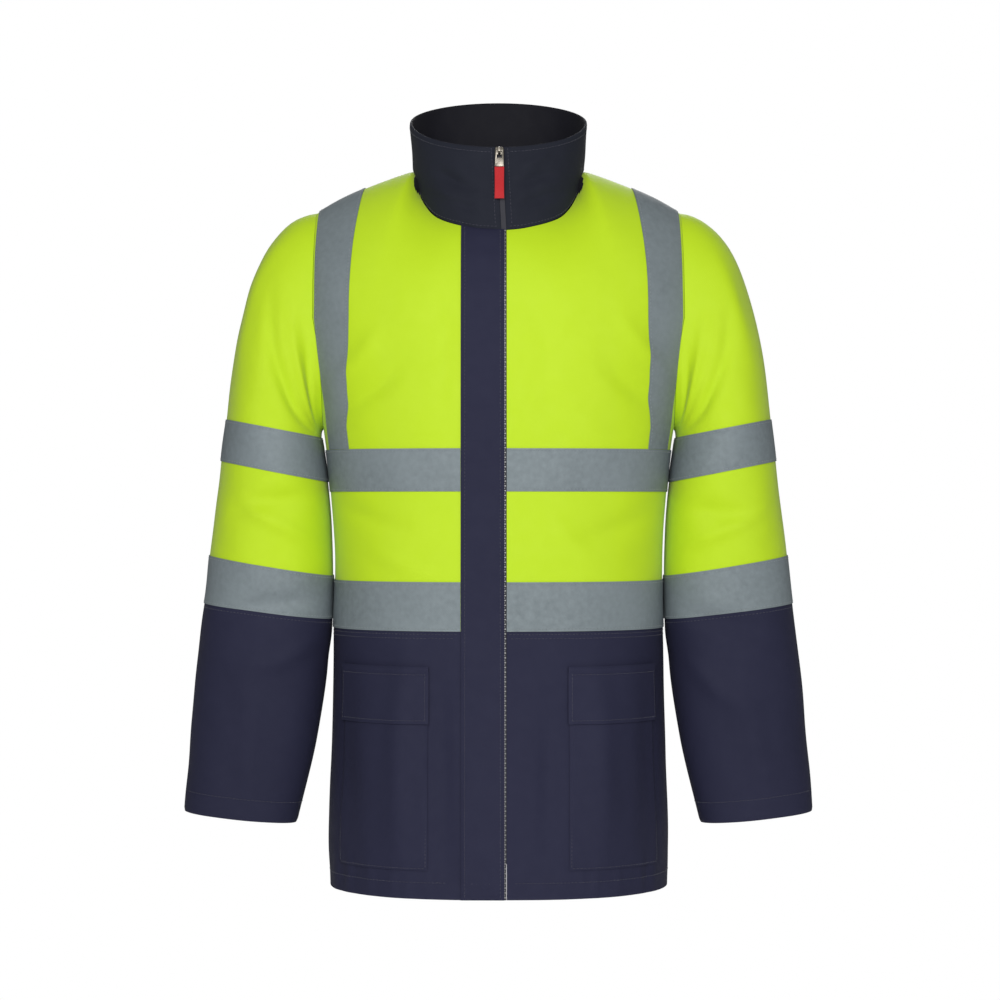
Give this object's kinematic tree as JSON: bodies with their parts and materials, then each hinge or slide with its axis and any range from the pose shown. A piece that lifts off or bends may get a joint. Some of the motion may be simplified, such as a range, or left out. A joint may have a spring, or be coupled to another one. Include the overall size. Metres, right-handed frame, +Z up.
{
  "type": "high-visibility work jacket",
  "caption": "Long-sleeved two-tone work jacket with stand collar, zip, patch pockets and reflective tape, filled out as worn, with open neck, hem and cuffs.",
  "frame": {"origin": "the middle of the shoulders, where the wearer carries the jacket", "axes": "+Z up, the front faces -Y, the wearer's left sleeve is on +X"},
  "size_m": [0.712, 0.2693, 0.8991],
  "materials": {
    "yellow_cloth": "fluorescent yellow coated oxford weave",
    "navy_cloth": "dark navy coated oxford weave",
    "collar_cloth": "dark soft-lined collar cloth",
    "reflective_tape": "grey glass-bead reflective tape, stitched along both edges",
    "zip_chain": "moulded zip chain on woven tape",
    "zip_metal": "worn plated metal",
    "ribbon_cloth": "red woven ribbon, plain"
  },
  "bodies": {
    "jacket": {"front_right": "yellow_cloth", "front_left": "yellow_cloth", "back": "yellow_cloth", "sleeve_right": "yellow_cloth", "sleeve_left": "yellow_cloth", "front_right_skirt": "navy_cloth", "front_left_skirt": "navy_cloth", "back_skirt": "navy_cloth", "sleeve_right_end": "navy_cloth", "sleeve_left_end": "navy_cloth", "placket": "navy_cloth", "pocket_right": "navy_cloth", "pocket_left": "navy_cloth", "flap_right": "navy_cloth", "flap_left": "navy_cloth", "collar": "collar_cloth", "brace_front_right": "reflective_tape", "brace_front_left": "reflective_tape", "brace_back_right": "reflective_tape", "brace_back_left": "reflective_tape", "chest_band_right": "reflective_tape", "chest_band_left": "reflective_tape", "chest_band_back": "reflective_tape", "waist_band_right": "reflective_tape", "waist_band_left": "reflective_tape", "waist_band_back": "reflective_tape", "sleeve_right_band_upper": "reflective_tape", "sleeve_right_band_lower": "reflective_tape", "sleeve_left_band_upper": "reflective_tape", "sleeve_left_band_lower": "reflective_tape", "zip": "zip_chain", "zip_slider": "zip_metal", "slider_bail": "zip_metal"},
    "zip_pull": {"pull_link": "zip_metal", "pull_ribbon": "ribbon_cloth"}
  },
  "joints": [
    {"name": "pull_tab", "type": "hinge", "parent": "jacket", "child": "zip_pull", "pos_m": [0.001, -0.08682, 0.03343], "axis": [-1, 0, 0], "range_deg": [0, 150]}
  ]
}
